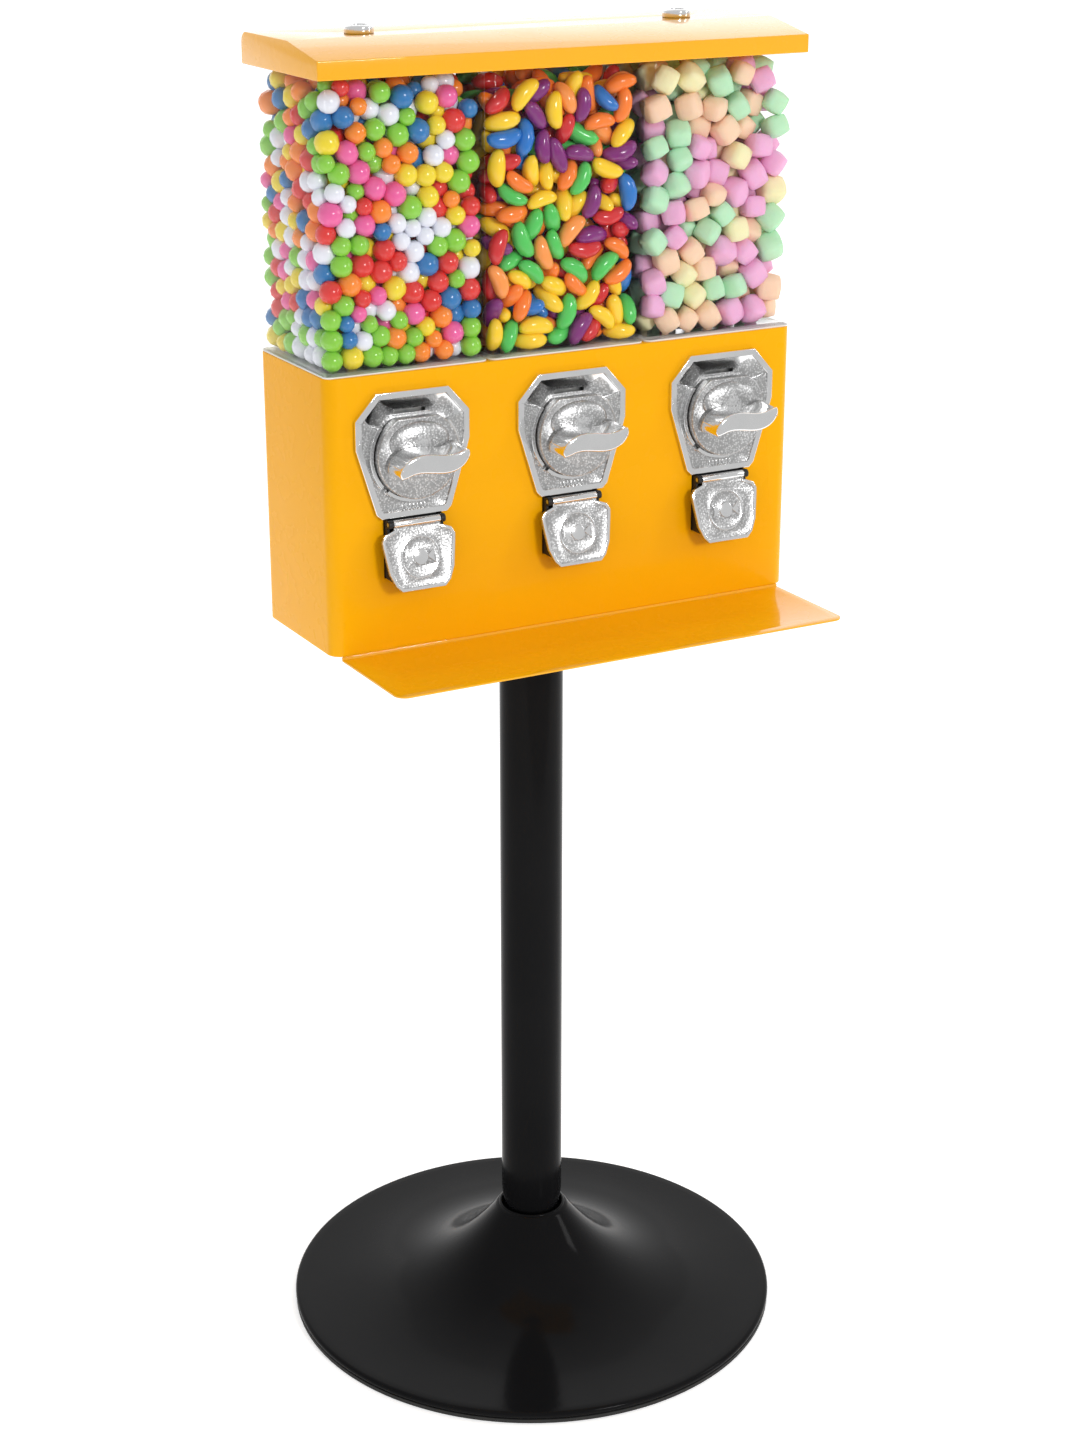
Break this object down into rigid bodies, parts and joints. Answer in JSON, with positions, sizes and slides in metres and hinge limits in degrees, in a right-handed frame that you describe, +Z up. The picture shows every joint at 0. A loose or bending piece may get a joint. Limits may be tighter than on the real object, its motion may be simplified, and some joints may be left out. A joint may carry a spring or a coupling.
{
  "type": "candy bulk dispenser",
  "caption": "Pedestal candy dispenser with clear hoppers under a folded lid, chromed coin knobs and hinged chute flaps, a shared catch tray and a round flared base.",
  "frame": {"origin": "centre of the base on the floor, on the pole's axis", "axes": "+Z up along the pole, -Y towards the customer, +X to the customer's right"},
  "size_m": [0.402, 0.402, 1.0497],
  "materials": {
    "black_paint": "gloss black enamel on spun and drawn steel",
    "yellow_paint": "gloss yellow powder coat on folded sheet steel",
    "chrome_casting": "bright chrome plate on zinc die casting",
    "chrome_lock": "polished chrome",
    "lock_face": "turned steel",
    "bright_steel": "zinc plated steel",
    "cast_iron": "rough casting",
    "edge_rubber": "moulded rubber",
    "white_moulding": "moulded white plastic",
    "wheel_moulding": "moulded plastic",
    "gear_moulding": "moulded nylon",
    "black_moulding": "moulded black plastic",
    "clear_canister": "clear polished polycarbonate",
    "gumball_candy": "glazed sugar shell, mixed colours",
    "jelly_candy": "glazed sugar shell, mixed colours",
    "marshmallow_candy": "powdered pastel foam sugar"
  },
  "bodies": {
    "cabinet": {"base_dish": "black_paint", "base_edge_ring": "edge_rubber", "base_weight": "cast_iron", "cabinet_floor": "yellow_paint", "cabinet_shell": "yellow_paint", "catch_tray": "yellow_paint", "coin_plate_screws": "bright_steel", "flange_bolts": "bright_steel", "flap_pins": "bright_steel", "gumball_fill": "gumball_candy", "hopper_rods": "bright_steel", "jelly_bean_fill": "jelly_candy", "left_back_plate": "bright_steel", "left_canister": "clear_canister", "left_chute": "black_moulding", "left_coin_plate": "chrome_casting", "left_wheel_housing": "white_moulding", "marshmallow_fill": "marshmallow_candy", "middle_back_plate": "bright_steel", "middle_canister": "clear_canister", "middle_chute": "black_moulding", "middle_coin_plate": "chrome_casting", "middle_wheel_housing": "white_moulding", "pocket_guards": "bright_steel", "pole": "black_paint", "right_back_plate": "bright_steel", "right_canister": "clear_canister", "right_chute": "black_moulding", "right_coin_plate": "chrome_casting", "right_wheel_housing": "white_moulding", "tie_rod": "bright_steel", "tie_rod_nuts": "bright_steel", "top_flange": "black_paint", "tray_screws": "bright_steel"},
    "lid": {"lid": "yellow_paint", "left_lock_body": "chrome_lock", "right_lock_body": "chrome_lock"},
    "left_lock_plug": {"left_lock_plug": "lock_face"},
    "right_lock_plug": {"right_lock_plug": "lock_face"},
    "left_knob": {"left_knob": "chrome_casting", "left_spindle": "bright_steel", "left_coin_wheel": "bright_steel", "left_drive_gear": "gear_moulding"},
    "left_candy_wheel": {"left_candy_wheel": "wheel_moulding"},
    "left_flap": {"left_flap": "chrome_casting"},
    "left_pawl": {"left_pawl": "bright_steel"},
    "middle_knob": {"middle_knob": "chrome_casting", "middle_spindle": "bright_steel", "middle_coin_wheel": "bright_steel", "middle_drive_gear": "gear_moulding"},
    "middle_candy_wheel": {"middle_candy_wheel": "wheel_moulding"},
    "middle_flap": {"middle_flap": "chrome_casting"},
    "middle_pawl": {"middle_pawl": "bright_steel"},
    "right_knob": {"right_knob": "chrome_casting", "right_spindle": "bright_steel", "right_coin_wheel": "bright_steel", "right_drive_gear": "gear_moulding"},
    "right_candy_wheel": {"right_candy_wheel": "wheel_moulding"},
    "right_flap": {"right_flap": "chrome_casting"},
    "right_pawl": {"right_pawl": "bright_steel"}
  },
  "joints": [
    {"name": "lid_lift", "type": "slide", "parent": "cabinet", "child": "lid", "axis": [0, 0, 1], "range_m": [0, 0.15]},
    {"name": "left_lock_turn", "type": "hinge", "parent": "lid", "child": "left_lock_plug", "pos_m": [-0.13, 0.012, 1.045], "axis": [0, 0, 1], "range_deg": [0, 90]},
    {"name": "right_lock_turn", "type": "hinge", "parent": "lid", "child": "right_lock_plug", "pos_m": [0.13, 0.012, 1.045], "axis": [0, 0, 1], "range_deg": [0, 90]},
    {"name": "left_knob_turn", "type": "hinge", "parent": "cabinet", "child": "left_knob", "pos_m": [-0.13, -0.06, 0.76], "axis": [0, 1, 0], "continuous": true},
    {"name": "left_candy_wheel_turn", "type": "hinge", "parent": "cabinet", "child": "left_candy_wheel", "pos_m": [-0.13, 0, 0.79], "axis": [0, 0, 1], "continuous": true},
    {"name": "left_flap_swing", "type": "hinge", "parent": "cabinet", "child": "left_flap", "pos_m": [-0.13, -0.066, 0.7098], "axis": [-1, 0, 0], "range_deg": [0, 60]},
    {"name": "left_pawl_lift", "type": "hinge", "parent": "cabinet", "child": "left_pawl", "pos_m": [-0.16, -0.055, 0.782], "axis": [0, 1, 0], "range_deg": [0, 10], "stiffness_Nm_per_rad": 0.01, "springref_deg": -8.59},
    {"name": "middle_knob_turn", "type": "hinge", "parent": "cabinet", "child": "middle_knob", "pos_m": [0, -0.06, 0.76], "axis": [0, 1, 0], "continuous": true},
    {"name": "middle_candy_wheel_turn", "type": "hinge", "parent": "cabinet", "child": "middle_candy_wheel", "pos_m": [0, 0, 0.79], "axis": [0, 0, 1], "continuous": true},
    {"name": "middle_flap_swing", "type": "hinge", "parent": "cabinet", "child": "middle_flap", "pos_m": [0, -0.066, 0.7098], "axis": [-1, 0, 0], "range_deg": [0, 60]},
    {"name": "middle_pawl_lift", "type": "hinge", "parent": "cabinet", "child": "middle_pawl", "pos_m": [-0.03, -0.055, 0.782], "axis": [0, 1, 0], "range_deg": [0, 10], "stiffness_Nm_per_rad": 0.01, "springref_deg": -8.59},
    {"name": "right_knob_turn", "type": "hinge", "parent": "cabinet", "child": "right_knob", "pos_m": [0.13, -0.06, 0.76], "axis": [0, 1, 0], "continuous": true},
    {"name": "right_candy_wheel_turn", "type": "hinge", "parent": "cabinet", "child": "right_candy_wheel", "pos_m": [0.13, 0, 0.79], "axis": [0, 0, 1], "continuous": true},
    {"name": "right_flap_swing", "type": "hinge", "parent": "cabinet", "child": "right_flap", "pos_m": [0.13, -0.066, 0.7098], "axis": [-1, 0, 0], "range_deg": [0, 60]},
    {"name": "right_pawl_lift", "type": "hinge", "parent": "cabinet", "child": "right_pawl", "pos_m": [0.1, -0.055, 0.782], "axis": [0, 1, 0], "range_deg": [0, 10], "stiffness_Nm_per_rad": 0.01, "springref_deg": -8.59}
  ],
  "couplings": [
    {"joint": "left_candy_wheel_turn", "follows": "left_knob_turn", "ratio": 0.57143},
    {"joint": "middle_candy_wheel_turn", "follows": "middle_knob_turn", "ratio": 0.57143},
    {"joint": "right_candy_wheel_turn", "follows": "right_knob_turn", "ratio": 0.57143}
  ]
}
